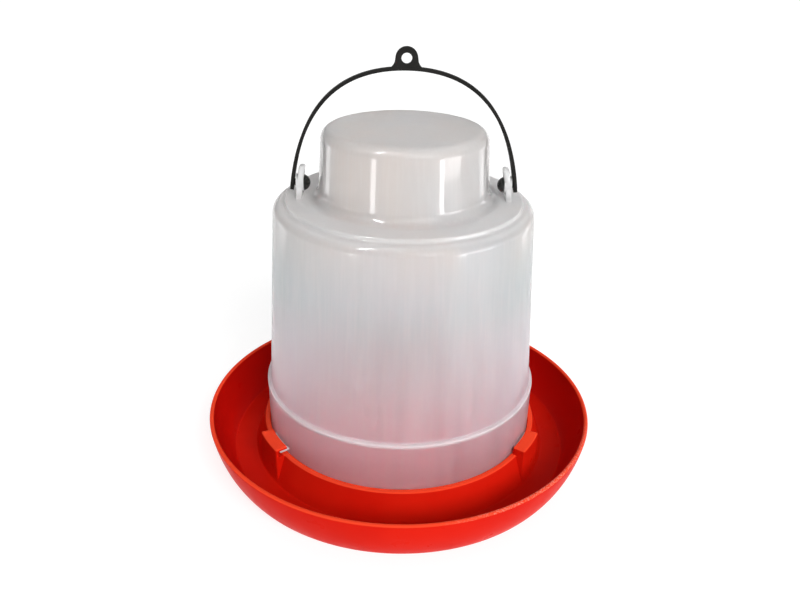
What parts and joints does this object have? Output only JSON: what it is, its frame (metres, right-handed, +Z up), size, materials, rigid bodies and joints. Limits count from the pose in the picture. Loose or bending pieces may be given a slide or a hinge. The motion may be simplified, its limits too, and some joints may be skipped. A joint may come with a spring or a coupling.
{
  "type": "poultry waterer",
  "caption": "Bell-type poultry waterer: a translucent domed water fount locked by lugs into a round red drinking tray, carried by a swinging black bail with a hanging eye.",
  "frame": {"origin": "on the ground, under the centre of the drinking tray", "axes": "+Z up along the fount's axis, X through the two bail pivots, front towards -Y"},
  "size_m": [0.3, 0.3, 0.3112],
  "materials": {
    "tray_plastic": "glossy moulded red",
    "fount_plastic": "milky translucent, glossy",
    "bail_plastic": "satin black",
    "pin_plastic": "satin black"
  },
  "bodies": {
    "tray": {"drinking_tray": "tray_plastic"},
    "fount": {"water_fount": "fount_plastic"},
    "bail": {"bail": "bail_plastic", "pivot_pin_right": "pin_plastic", "pivot_pin_left": "pin_plastic"}
  },
  "joints": [
    {"name": "fount_twist", "type": "hinge", "parent": "tray", "child": "fount", "pos_m": [0, 0, 0], "axis": [0, 0, 1], "range_deg": [0, 20]},
    {"name": "bail_swing", "type": "hinge", "parent": "fount", "child": "bail", "pos_m": [0, 0, 0.2173], "axis": [1, 0, 0], "range_deg": [-93, 93]}
  ]
}
